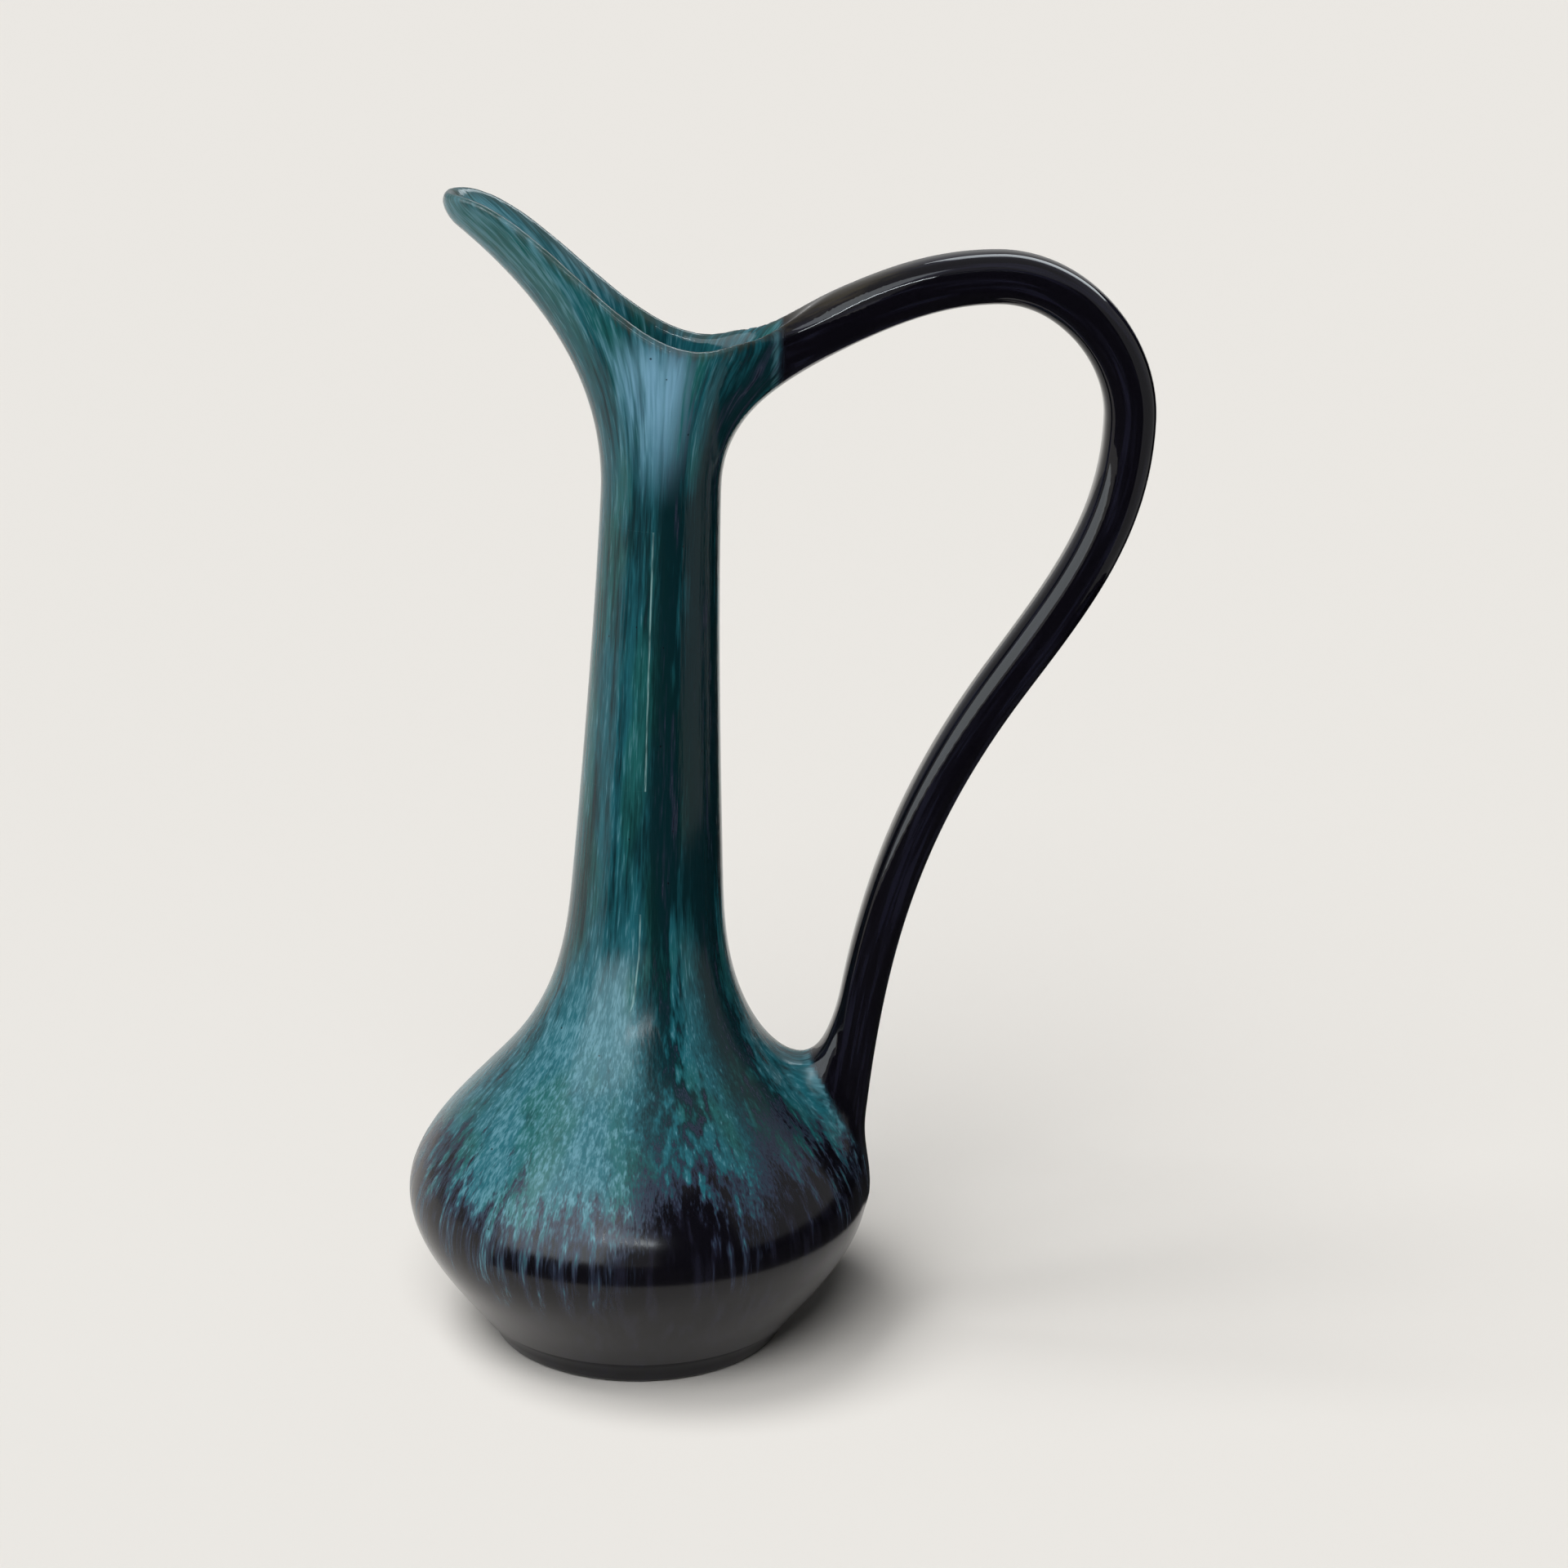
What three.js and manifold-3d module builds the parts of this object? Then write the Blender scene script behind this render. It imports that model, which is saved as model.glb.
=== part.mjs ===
// A glazed earthenware ewer: a flat foot, a squat bulb, a tall leaning neck, a beaked mouth and a loop
// handle. It is built up in sections, as a potter builds it: each section is located by a tongue in a
// rebate and luted to the next with slip, and the handle is luted on with a wad of clay at each end.
// Sizes are millimetres. The origin is the middle of the foot's underside, +Z is up, the handle is
// towards +X and the beak of the mouth towards -X.
import * as THREE from "three";
import { mergeVertices } from "three/addons/utils/BufferGeometryUtils.js";
import Module from "manifold-3d";

// Foot
const FOOT_R = 41; // radius of the face that it stands on
const FOOT_TOP_R = 44.4; // radius under the bowl
const FOOT_H = 7.2;
const FOOT_BEVEL = 1.2; // round the standing face

// Luted seams
const SLIP = 0.8; // thickness of the slip between two sections
const LAP = 3; // height of the tongue that locates the section above
const TONGUE = 1.6; // thickness of that tongue at its foot
const CLEARANCE = 0.3; // play round a tongue and at the handle's seats

// Walls
const FLOOR = 6;
const FLOOR_ROUND = 6; // radius of the inside corner at the floor
const BOWL_WALL = 5;
const NECK_WALL = 4;
const LIP_WALL = 3.4;

// Outside of the bulb and neck. A slope is the radius gained for each millimetre of height, and a rise
// is counted from the station below.
const BOWL_BASE_R = 46;
const BOWL_BASE_SLOPE = 0.75;
const BELLY_R = 64.6;
const BELLY_RISE = 34.3;
const SHOULDER_R = 38.9;
const SHOULDER_SLOPE = -0.87;
const SHOULDER_RISE = 38.5;
const NECK_SEAM_RISE = 36;
const NECK_BASE_R = 20.6;
const NECK_BASE_SLOPE = -0.06;
const NECK_BASE_RISE = 55.1;
const THROAT_R = 16;
const THROAT_SLOPE = -0.02;
const NECK_LENGTH = 104.1;
const NECK_LEAN = 1.71; // degrees, towards the handle

// Mouth. Its wall flares from the throat as a half ellipse towards the beak and another towards the
// handle. The reaches are half axes at the height LIP_RISE, and the wall is cut off at the rim below it.
const LIP_RISE = 80;
const BEAK_REACH = 68;
const BEAK_SLOPE = 1.48;
const SIDE_REACH = 20;
const SIDE_SLOPE = 0.05;
const BACK_REACH = 81;
const BACK_SLOPE = 2.05;
const RIM_ROUND = 1.3; // how far the rim's edges are eased

// Rim, counted from the throat: a low saddle, a crest near the beak and a climb on to the handle
const SADDLE_RISE = 41;
const SADDLE_SETBACK = 11.2; // from the neck's axis towards the handle
const CREST_RISE = 79.6;
const CREST_REACH = 53.3; // from the neck's axis towards the beak
const BEAK_ROUND = 1.8; // radius of the beak's tip, seen from the side
const CLIMB_SLOPE = 0.53;
const CLIMB_EASE = 8.9; // how softly the climb starts

// Handle. Its spine runs through five stations. The first four are counted from the throat, and the
// last one from the shoulder that it lands on. Angles are the spine's direction in degrees.
const START_REACH = 22.7;
const START_RISE = 37.3;
const START_ANGLE = 19.2;
const ARCH_REACH = 87.9;
const ARCH_RISE = 59.5;
const ELBOW_REACH = 123.5;
const ELBOW_RISE = 22.7;
const RUN_REACH = 93.1;
const RUN_DROP = 49;
const RUN_ANGLE = -124.2;
const LANDING_RISE = 31.7; // above the belly
const LANDING_PROUD = 13; // the spine's distance outside the shoulder
const LANDING_ANGLE = -96;
const HANDLE_TOP_T = 15; // thickness at the mouth
const HANDLE_ROOT_T = 12.6; // thickness at the shoulder
const HANDLE_TOP_W = 17; // width at the mouth
const HANDLE_ROOT_W = 14.4;

// Clay wads that lute the handle on. Each follows the spine, and its edge spreads in a hollow curve over
// the flare's length. What runs past the spine's end is cut away by the seat.
const UPPER_WAD = 24; // length along the spine
const UPPER_FLARE = 38;
const UPPER_SPREAD = 17; // down the neck
const UPPER_WIDEN = 5; // to each side
const UPPER_CORE = 14; // length past the end of the spine
const LOWER_WAD = 21;
const LOWER_FLARE = 13;
const LOWER_SPREAD = 12;
const LOWER_WIDEN = 4;
const LOWER_CORE = 28;

// Facets
const SIDES = 40;
const HANDLE_SIDES = 16;
const HANDLE_STEPS = 40;
const CURVED_STEP = 5; // height of a band of facets on a curved wall
const STRAIGHT_STEP = 15; // and on the neck
const CORNER_STEPS = 3; // round the inside corner at the floor
const WAD_STEP = 1.8;
const SLOPE_PROBE = 1; // height over which a wall's slope is measured
const RIM_TRIES = 30; // halvings in the search for the rim
const SPINE_EASE = 0.37; // share of a span that its curve keeps the station's direction

const wasm = await Module();
wasm.setup();

const rad = THREE.MathUtils.degToRad;
const bowlZ = FOOT_H + SLIP;
const bellyZ = bowlZ + BELLY_RISE;
const shoulderZ = bellyZ + SHOULDER_RISE;
const neckSeamZ = shoulderZ + NECK_SEAM_RISE;
const throatZ = shoulderZ + NECK_BASE_RISE + NECK_LENGTH;

// Cubic that runs from value a with slope da to value b with slope db over a span
function cubic(t, span, a, da, b, db) {
  const s = 1 - t;
  return s * s * (1 + 2 * t) * a + t * s * s * span * da + t * t * (3 - 2 * t) * b - t * t * s * span * db;
}

const STATIONS = [
  { z: bowlZ, r: BOWL_BASE_R, slope: BOWL_BASE_SLOPE },
  { z: bellyZ, r: BELLY_R, slope: 0 },
  { z: shoulderZ, r: SHOULDER_R, slope: SHOULDER_SLOPE },
  { z: shoulderZ + NECK_BASE_RISE, r: NECK_BASE_R, slope: NECK_BASE_SLOPE },
  { z: throatZ, r: THROAT_R, slope: THROAT_SLOPE },
];

function outerRadius(z) {
  const above = STATIONS.findIndex((station, i) => i > 0 && (z <= station.z || i === STATIONS.length - 1));
  const low = STATIONS[above - 1];
  const high = STATIONS[above];
  const span = high.z - low.z;
  return cubic((z - low.z) / span, span, low.r, low.slope, high.r, high.slope);
}

// Horizontal thickness of a wall that leans at a slope
function across(wall, slope) {
  return wall * Math.hypot(1, slope);
}

function wallThickness(z) {
  return THREE.MathUtils.lerp(BOWL_WALL, NECK_WALL, THREE.MathUtils.smoothstep(z, bellyZ, throatZ));
}

// Gain of a size for each millimetre of height
function slopeOf(size, z) {
  return (size(z + SLOPE_PROBE / 2) - size(z - SLOPE_PROBE / 2)) / SLOPE_PROBE;
}

function innerRadius(z) {
  return outerRadius(z) - across(wallThickness(z), slopeOf(outerRadius, z));
}

// The axis stands upright in the bowl and bends smoothly into the neck's lean between belly and shoulder
function axisX(z) {
  const lean = Math.tan(rad(NECK_LEAN));
  const bend = shoulderZ - bellyZ;
  const up = THREE.MathUtils.clamp(z - bellyZ, 0, bend);
  return lean * ((up * up) / (2 * bend) + Math.max(0, z - shoulderZ));
}

function ring(z, r) {
  return Array.from({ length: SIDES }, (_, i) => {
    const angle = (2 * Math.PI * i) / SIDES;
    return new THREE.Vector3(axisX(z) + r * Math.cos(angle), r * Math.sin(angle), z);
  });
}

// Heights from one level to another in bands of about a step, both ends included
function levels(from, to, step = CURVED_STEP) {
  const bands = Math.max(1, Math.round(Math.abs(to - from) / step));
  return Array.from({ length: bands + 1 }, (_, i) => from + ((to - from) * i) / bands);
}

// Skin through rings of points. A closed one joins its last ring to its first, and a capped one is shut
// by a fan over each end.
function skin(rings, capped) {
  const sides = rings[0].length;
  const points = rings.flat();
  const index = [];
  const spans = capped ? rings.length - 1 : rings.length;
  for (let i = 0; i < spans; i++) {
    const next = (i + 1) % rings.length;
    for (let j = 0; j < sides; j++) {
      const k = (j + 1) % sides;
      const [a, b] = [i * sides + j, i * sides + k];
      const [c, d] = [next * sides + k, next * sides + j];
      index.push(a, b, c, a, c, d);
    }
  }
  if (capped) {
    const last = (rings.length - 1) * sides;
    const middle = (r) => r.reduce((sum, p) => sum.add(p), new THREE.Vector3()).divideScalar(sides);
    points.push(middle(rings[0]), middle(rings[rings.length - 1]));
    for (let j = 0; j < sides; j++) {
      const k = (j + 1) % sides;
      index.push(points.length - 2, k, j, points.length - 1, last + j, last + k);
    }
  }
  const geometry = new THREE.BufferGeometry().setFromPoints(points);
  geometry.setIndex(index);
  return geometry;
}

function turned(profile) {
  const points = profile.map(([r, z]) => new THREE.Vector2(r, z));
  return new THREE.LatheGeometry(points, SIDES).rotateX(Math.PI / 2);
}

function solid(geometry) {
  const bare = new THREE.BufferGeometry().setAttribute("position", geometry.getAttribute("position"));
  bare.setIndex(geometry.getIndex());
  const merged = mergeVertices(bare, 1e-4);
  const vertProperties = new Float32Array(merged.getAttribute("position").array);
  const triVerts = new Uint32Array(merged.getIndex().array);
  return new wasm.Manifold(new wasm.Mesh({ numProp: 3, vertProperties, triVerts }));
}

function faceted(manifold) {
  const mesh = manifold.getMesh();
  const geometry = new THREE.BufferGeometry();
  geometry.setAttribute("position", new THREE.BufferAttribute(mesh.vertProperties, 3));
  geometry.setIndex(new THREE.BufferAttribute(mesh.triVerts, 1));
  return geometry;
}

// Sections of the body

function footShape() {
  return turned([
    [0, 0],
    [FOOT_R - FOOT_BEVEL, 0],
    [FOOT_R, FOOT_BEVEL],
    [FOOT_TOP_R, FOOT_H],
    [0, FOOT_H],
  ]);
}

// The slip is smoothed from the foot's edge out to the bowl's
function footSlipShape() {
  return turned([
    [0, FOOT_H],
    [FOOT_TOP_R, FOOT_H],
    [BOWL_BASE_R, bowlZ],
    [0, bowlZ],
  ]);
}

// Tongue on the top of a section and the rebate that takes it, as pairs of radius and height
function tongueTop(seam) {
  const face = innerRadius(seam) + TONGUE;
  const top = seam + SLIP + LAP;
  return [
    [face, seam],
    [face, top],
    [innerRadius(top), top],
  ];
}

function rebateBottom(seam) {
  const face = innerRadius(seam) + TONGUE + CLEARANCE;
  const ledge = seam + SLIP + LAP + CLEARANCE;
  return [
    [innerRadius(ledge), ledge],
    [face, ledge],
    [face, seam + SLIP],
  ];
}

function lowerBowlShape() {
  const floorZ = bowlZ + FLOOR;
  const cornerZ = floorZ + FLOOR_ROUND;
  const cornerR = innerRadius(cornerZ);
  const corner = levels(0, Math.PI / 2, Math.PI / 2 / CORNER_STEPS).map((angle) => {
    return [cornerR - FLOOR_ROUND * (1 - Math.cos(angle)), cornerZ - FLOOR_ROUND * Math.sin(angle)];
  });
  const outside = levels(bowlZ, bellyZ).map((z) => [outerRadius(z), z]);
  const inside = levels(bellyZ, cornerZ).slice(0, -1).map((z) => [innerRadius(z), z]);
  return turned([[0, bowlZ], ...outside, ...tongueTop(bellyZ), ...inside, ...corner, [0, floorZ]]);
}

function wallSection(lowSeam, highSeam, step) {
  const ledge = lowSeam + SLIP + LAP + CLEARANCE;
  const outside = levels(lowSeam + SLIP, highSeam, step).map((z) => [outerRadius(z), z]);
  const inside = levels(highSeam, ledge, step).slice(0, -1).map((z) => [innerRadius(z), z]);
  const profile = [...outside, ...tongueTop(highSeam), ...inside, ...rebateBottom(lowSeam)];
  return skin(profile.map(([r, z]) => ring(z, r)), false);
}

function slipSeam(seam) {
  const face = innerRadius(seam) + TONGUE + CLEARANCE;
  const profile = [
    [outerRadius(seam), seam],
    [outerRadius(seam + SLIP), seam + SLIP],
    [face, seam + SLIP],
    [face, seam],
  ];
  return skin(profile.map(([r, z]) => ring(z, r)), false);
}

// Mouth

function rimHeight(x) {
  const fromSaddle = x - axisX(throatZ) - SADDLE_SETBACK;
  if (fromSaddle > 0) {
    return throatZ + SADDLE_RISE + CLIMB_SLOPE * (Math.hypot(fromSaddle, CLIMB_EASE) - CLIMB_EASE);
  }
  const run = SADDLE_SETBACK + CREST_REACH;
  const climb = THREE.MathUtils.smoothstep(-fromSaddle, 0, run);
  const pastCrest = Math.max(0, -fromSaddle - run);
  const fall = pastCrest ** 2 / (2 * BEAK_ROUND);
  return throatZ + SADDLE_RISE + (CREST_RISE - SADDLE_RISE) * climb - fall;
}

// Half axis of the mouth's outline at a height, taken in by the wall where an inset is asked for
function halfAxis(z, reach, slope, inset) {
  const size = (height) => cubic((height - throatZ) / LIP_RISE, LIP_RISE, THROAT_R, THROAT_SLOPE, reach, slope);
  return size(z) - across(inset, slopeOf(size, z));
}

function lipPoint(angle, z, inset) {
  const towardsBeak = Math.cos(angle) < 0;
  const [reach, slope] = towardsBeak ? [BEAK_REACH, BEAK_SLOPE] : [BACK_REACH, BACK_SLOPE];
  const x = axisX(z) + Math.cos(angle) * halfAxis(z, reach, slope, inset);
  return new THREE.Vector3(x, Math.sin(angle) * halfAxis(z, SIDE_REACH, SIDE_SLOPE, inset), z);
}

function rimZ(angle, inset) {
  let [low, high] = [throatZ, throatZ + LIP_RISE];
  for (let i = 0; i < RIM_TRIES; i++) {
    const middle = (low + high) / 2;
    if (middle < rimHeight(lipPoint(angle, middle, inset).x)) low = middle;
    else high = middle;
  }
  return low;
}

// Ring round the mouth's wall, a share of the way from the height start to the rim
function lipRing(share, start, inset, drop) {
  return Array.from({ length: SIDES }, (_, i) => {
    const angle = (2 * Math.PI * i) / SIDES;
    const z = THREE.MathUtils.lerp(start, rimZ(angle, inset(1)) - drop, share);
    return lipPoint(angle, z, inset(share));
  });
}

function lipShape() {
  const bottom = throatZ + SLIP;
  const ledge = throatZ + SLIP + LAP + CLEARANCE;
  const shares = levels(0, LIP_RISE / 2).map((z) => z / (LIP_RISE / 2));
  const wall = (share) => THREE.MathUtils.lerp(NECK_WALL, LIP_WALL, share);
  const outside = shares.map((share) => lipRing(share, bottom, () => 0, RIM_ROUND));
  const inside = shares.map((share) => lipRing(share, ledge, wall, RIM_ROUND)).reverse();
  const crest = lipRing(1, bottom, () => LIP_WALL / 2, 0);
  const face = innerRadius(throatZ) + TONGUE + CLEARANCE;
  return skin([...outside, crest, ...inside, ring(ledge, face), ring(bottom, face)], false);
}

// Handle

function direction(angle) {
  return new THREE.Vector3(Math.cos(rad(angle)), 0, Math.sin(rad(angle)));
}

function handleSpine() {
  const axis = axisX(throatZ);
  const landingZ = bellyZ + LANDING_RISE;
  const landingX = axisX(landingZ) + outerRadius(landingZ) + LANDING_PROUD;
  const stations = [
    [axis + START_REACH, throatZ + START_RISE, START_ANGLE],
    [axis + ARCH_REACH, throatZ + ARCH_RISE, 0],
    [axis + ELBOW_REACH, throatZ + ELBOW_RISE, -90],
    [axis + RUN_REACH, throatZ - RUN_DROP, RUN_ANGLE],
    [landingX, landingZ, LANDING_ANGLE],
  ].map(([x, z, angle]) => ({ at: new THREE.Vector3(x, 0, z), along: direction(angle) }));
  const path = new THREE.CurvePath();
  for (let i = 1; i < stations.length; i++) {
    const [from, to] = [stations[i - 1], stations[i]];
    const pull = SPINE_EASE * from.at.distanceTo(to.at);
    const leaving = from.at.clone().addScaledVector(from.along, pull);
    const arriving = to.at.clone().addScaledVector(to.along, -pull);
    path.add(new THREE.CubicBezierCurve3(from.at, leaving, arriving, to.at));
  }
  return path;
}

const spine = handleSpine();
const spineLength = spine.getLength();

// Place on the spine at a distance from its start. Past either end it runs straight on.
function spineAt(distance) {
  const share = THREE.MathUtils.clamp(distance / spineLength, 0, 1);
  const along = spine.getTangentAt(share);
  const at = spine.getPointAt(share).addScaledVector(along, distance - share * spineLength);
  const out = new THREE.Vector3(-along.z, 0, along.x);
  return { at, along, out, share };
}

// Oval ring across the spine. The spread widens it on the side that faces the neck, and to each side.
function handleRing(distance, spread, widen) {
  const { at, out, share } = spineAt(distance);
  const thick = THREE.MathUtils.lerp(HANDLE_TOP_T, HANDLE_ROOT_T, share) / 2;
  const wide = THREE.MathUtils.lerp(HANDLE_TOP_W, HANDLE_ROOT_W, share) / 2;
  return Array.from({ length: HANDLE_SIDES }, (_, i) => {
    const angle = (2 * Math.PI * i) / HANDLE_SIDES;
    const inward = Math.cos(angle) < 0 ? thick + spread : thick;
    const point = at.clone().addScaledVector(out, inward * Math.cos(angle));
    point.y -= (wide + widen) * Math.sin(angle);
    return point;
  });
}

const handleStart = UPPER_WAD;
const handleEnd = spineLength - LOWER_WAD;

function handleShape() {
  const rings = Array.from({ length: HANDLE_STEPS + 1 }, (_, i) => {
    return handleRing(THREE.MathUtils.lerp(handleStart, handleEnd, i / HANDLE_STEPS), 0, 0);
  });
  return faceted(solid(skin(rings, true)).subtract(mouthBlock()));
}

// Wad from an end of the handle into its seat. Its edge is a quarter of an ellipse.
function wad(from, to, flare, spread, widen) {
  const rings = levels(from, to, WAD_STEP).map((distance) => {
    const along = Math.min(1, Math.abs(distance - from) / flare);
    const share = 1 - Math.sqrt(1 - along ** 2);
    return handleRing(distance, spread * share, widen * share);
  });
  return solid(skin(from < to ? rings : rings.reverse(), true));
}

// The mouth filled up to its rim and open space above it, with the clearance of a seat round it
function mouthBlock() {
  const start = throatZ - LIP_RISE / 2;
  const below = levels(start, throatZ).map((z) => ring(z, outerRadius(z) + CLEARANCE));
  const shares = levels(0, LIP_RISE / 2).map((z) => z / (LIP_RISE / 2));
  const sides = shares.slice(1).map((share) => lipRing(share, throatZ, () => -CLEARANCE, 0));
  const sky = sides[sides.length - 1].map((p) => new THREE.Vector3(p.x, p.y, throatZ + 2 * LIP_RISE));
  return solid(skin([...below, ...sides, sky], true));
}

function shoulderBlock() {
  const rings = levels(bowlZ, neckSeamZ).map((z) => ring(z, outerRadius(z) + CLEARANCE));
  return solid(skin(rings, true));
}

function upperJoinShape() {
  const core = wad(handleStart - CLEARANCE, -UPPER_CORE, UPPER_FLARE, UPPER_SPREAD, UPPER_WIDEN);
  return faceted(core.subtract(mouthBlock()));
}

function lowerJoinShape() {
  const end = spineLength + LOWER_CORE;
  const core = wad(handleEnd + CLEARANCE, end, LOWER_FLARE, LOWER_SPREAD, LOWER_WIDEN);
  return faceted(core.subtract(shoulderBlock()));
}

// Glazes: the overglaze runs teal down the mouth, neck and shoulder, and the dark glaze covers the rest
const glaze = (color) => new THREE.MeshStandardMaterial({ color, roughness: 0.12, metalness: 0 });
const bare = (color) => new THREE.MeshStandardMaterial({ color, roughness: 0.8, metalness: 0 });
const TEAL = 0x2f6f74;
const DARK_TEAL = 0x1f4a55;
const NIGHT = 0x14141f;
const CLAY = 0x4a4440;

const pieces = [
  ["foot", footShape(), bare(NIGHT)],
  ["foot_slip", footSlipShape(), bare(CLAY)],
  ["lower_bowl", lowerBowlShape(), glaze(NIGHT)],
  ["belly_slip", slipSeam(bellyZ), bare(CLAY)],
  ["shoulder", wallSection(bellyZ, neckSeamZ, CURVED_STEP), glaze(DARK_TEAL)],
  ["neck_slip", slipSeam(neckSeamZ), bare(CLAY)],
  ["neck", wallSection(neckSeamZ, throatZ, STRAIGHT_STEP), glaze(TEAL)],
  ["lip_slip", slipSeam(throatZ), bare(CLAY)],
  ["pouring_lip", lipShape(), glaze(TEAL)],
  ["handle", handleShape(), glaze(NIGHT)],
  ["upper_handle_join", upperJoinShape(), glaze(DARK_TEAL)],
  ["lower_handle_join", lowerJoinShape(), glaze(DARK_TEAL)],
];

const ewer = new THREE.Group();
for (const [name, geometry, material] of pieces) {
  const mesh = new THREE.Mesh(geometry, material);
  mesh.name = name;
  ewer.add(mesh);
}

export default ewer;
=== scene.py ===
"""A drip-glazed ewer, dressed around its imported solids.

The clay is one smooth surface, given as a signed distance in millimetres: the turned body, hollowed and cut
off at the rim, with the handle melted on. It is meshed on a grid, drawn on to the exact surface and cut
into the same pieces as the solids. The glaze is procedural and runs down the wall from the rim.
"""
import math

import bmesh
import bpy
import numpy as np
from mathutils import Matrix, Vector


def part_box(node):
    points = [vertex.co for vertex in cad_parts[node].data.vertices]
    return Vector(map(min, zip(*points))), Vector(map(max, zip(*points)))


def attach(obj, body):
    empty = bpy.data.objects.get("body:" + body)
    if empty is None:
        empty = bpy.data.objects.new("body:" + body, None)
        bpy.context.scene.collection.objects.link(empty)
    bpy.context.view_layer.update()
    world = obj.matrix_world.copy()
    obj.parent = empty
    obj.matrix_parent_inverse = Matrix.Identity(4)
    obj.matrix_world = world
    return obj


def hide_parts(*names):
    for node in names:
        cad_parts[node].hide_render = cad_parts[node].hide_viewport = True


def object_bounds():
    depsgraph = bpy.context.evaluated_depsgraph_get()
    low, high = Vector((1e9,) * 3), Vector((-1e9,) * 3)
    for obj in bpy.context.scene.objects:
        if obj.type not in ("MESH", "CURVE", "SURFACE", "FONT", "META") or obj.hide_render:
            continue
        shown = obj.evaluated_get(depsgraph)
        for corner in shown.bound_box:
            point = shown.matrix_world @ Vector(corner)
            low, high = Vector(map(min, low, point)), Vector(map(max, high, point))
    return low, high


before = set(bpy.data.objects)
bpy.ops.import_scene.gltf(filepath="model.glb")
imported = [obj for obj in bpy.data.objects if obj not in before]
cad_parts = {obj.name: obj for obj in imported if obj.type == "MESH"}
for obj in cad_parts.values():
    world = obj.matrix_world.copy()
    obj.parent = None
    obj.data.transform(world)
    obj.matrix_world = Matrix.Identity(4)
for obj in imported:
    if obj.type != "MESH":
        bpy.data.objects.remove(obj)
cad_low, cad_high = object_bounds()

MM = 0.001  # metres in a millimetre


def box_mm(node):
    """Lowest and highest corner of a solid, in millimetres."""
    low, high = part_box(node)
    return np.array(low) / MM, np.array(high) / MM


# Sizes that the solids give, in millimetres
foot_r, foot_h = box_mm("foot")[1][[0, 2]]
bowl_r, bowl_z = box_mm("foot_slip")[1][[0, 2]]
belly_r = box_mm("lower_bowl")[1][0]
belly_z = box_mm("belly_slip")[0][2]
neck_seam_z = box_mm("neck_slip")[0][2]
throat_r, throat_z = box_mm("lip_slip")[1][1], box_mm("lip_slip")[0][2]

# Body: height, radius and gain of radius for each millimetre of height
BOWL_SLOPE = 0.75
SHOULDER_RISE, SHOULDER_R, SHOULDER_SLOPE = 38.5, 38.9, -0.87
NECK_BASE_RISE, NECK_BASE_R, NECK_BASE_SLOPE = 55.1, 20.6, -0.06
THROAT_SLOPE = -0.02
NECK_LEAN = math.tan(math.radians(1.71))
BOWL_WALL, NECK_WALL, LIP_WALL = 5.0, 4.0, 3.4
FLOOR, FLOOR_ROUND = 6.0, 12.0
shoulder_z = belly_z + SHOULDER_RISE

# Mouth: half axes of its outline at the height LIP_RISE above the throat, and their slopes there
LIP_RISE = 80.0
BEAK_REACH, BEAK_SLOPE = 68.0, 1.48
SIDE_REACH, SIDE_SLOPE = 20.0, 0.05
BACK_REACH, BACK_SLOPE = 81.0, 2.05
RIM_ROUND, GROOVE_ROUND = 2.2, 2.6
BACK_THIN = 0.85  # how much of the wall the mouth's groove takes off the root of the handle

# Rim, counted from the throat
SADDLE_RISE, SADDLE_SETBACK = 41.0, 11.2
CREST_RISE, CREST_REACH, BEAK_ROUND = 79.6, 55.0, 2.0
NOSE_REACH, NOSE_ROUND, NOSE_CURVE = 56.8, 4.0, 18.0  # the beak's end is blunt and round in plan
CLIMB_SLOPE, CLIMB_EASE = 0.53, 8.9

# Handle: stations of its spine, counted from the throat and, for the last one, from the shoulder
START = (22.7, 38.8, 19.2)
ARCH = (87.9, 59.5, 0.0)
ELBOW = (123.5, 22.7, -90.0)
RUN = (93.1, -49.0, -124.2)
LANDING_RISE, LANDING_PROUD, LANDING_ANGLE = 31.7, 13.0, -96.0
SPINE_EASE = 0.37
SPINE_STEP = 0.5
SPINE_TAILS = (14.0, 28.0)  # how far it runs on into the mouth and the bulb
HANDLE_SHARES = (0.0, 0.28, 1.0)  # shares of its length at which its thickness and width are given
HANDLE_T = (12.4, 13.9, 12.3)
HANDLE_W = (17.0, 16.3, 14.4)
INNER_FILLETS = (24.0, 24.0)  # reach of the fillet under the handle, at the mouth and at the shoulder
SIDE_FILLETS = (9.0, 11.0)
OUTER_FILLETS = (2.0, 8.0)
HANDLE_SQUARE = (2.1, 2.9)  # at the mouth and beyond: 2 makes its section an ellipse, more squares it off
SQUARE_SHARES = (0.03, 0.15)  # shares of its length between which it squares off
FILLET_SHARES = (0.2, 0.8)  # and between which the mouth's fillets turn into the shoulder's
FILLET_TURN, LEAST_FILLET = (-0.1, 0.5), 0.5  # cosines round the body between which fillets grow
GROOVE_TURN = (0.5, 1.0)  # and between which the mouth's groove does
UPPER_WAD, LOWER_WAD = 24.0, 21.0  # from the spine's ends to the joins' cuts
TEAL_END_X = 36.3  # where the teal glaze stops on the handle's upper end
TEAL_END_LOW = (61.0, 57.0)  # and the line where it stops at the lower end, seen from the side
TEAL_END_HIGH = (46.0, 85.0)

GRID = 1.0  # cell of the grid that the surface is meshed on
SETTLE_TURNS, SETTLE_EASE = 5, 0.6  # how often and how far its points are evened out
SLOPE_PROBE, NORMAL_PROBE = 0.02, 0.15  # steps that measure the slope there and the normals
FAR = 60.0  # a distance beyond any fillet's reach


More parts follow.
